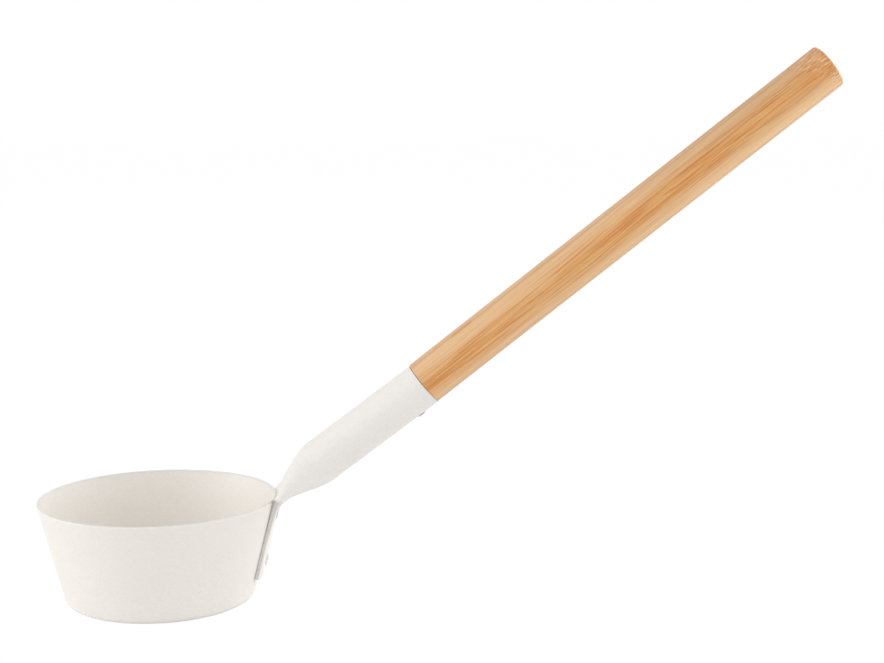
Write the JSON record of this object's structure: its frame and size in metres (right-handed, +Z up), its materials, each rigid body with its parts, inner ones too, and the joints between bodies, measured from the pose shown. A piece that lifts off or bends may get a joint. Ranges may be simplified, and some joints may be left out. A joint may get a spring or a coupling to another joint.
{
  "type": "sauna ladle",
  "caption": "Tapered round metal cup with a tube socket pressed flat and riveted to its wall, carrying a sloping round bamboo handle; it scoops and pours water.",
  "frame": {"origin": "centre of the cup's flat underside", "axes": "+Z up through the cup's axis, +X horizontally from the cup towards the handle, +Y across the handle; the handle lies in the XZ plane"},
  "size_m": [0.403, 0.1198, 0.2731],
  "materials": {
    "white_coat": "fine matt powder coat",
    "bamboo": "laminated bamboo, oiled satin",
    "screw_steel": "zinc plated steel"
  },
  "bodies": {
    "root": {"cup": "white_coat", "handle_socket": "white_coat", "handle_rod": "bamboo", "rivet_upper": "white_coat", "rivet_lower": "white_coat", "handle_screw": "screw_steel"}
  },
  "joints": []
}
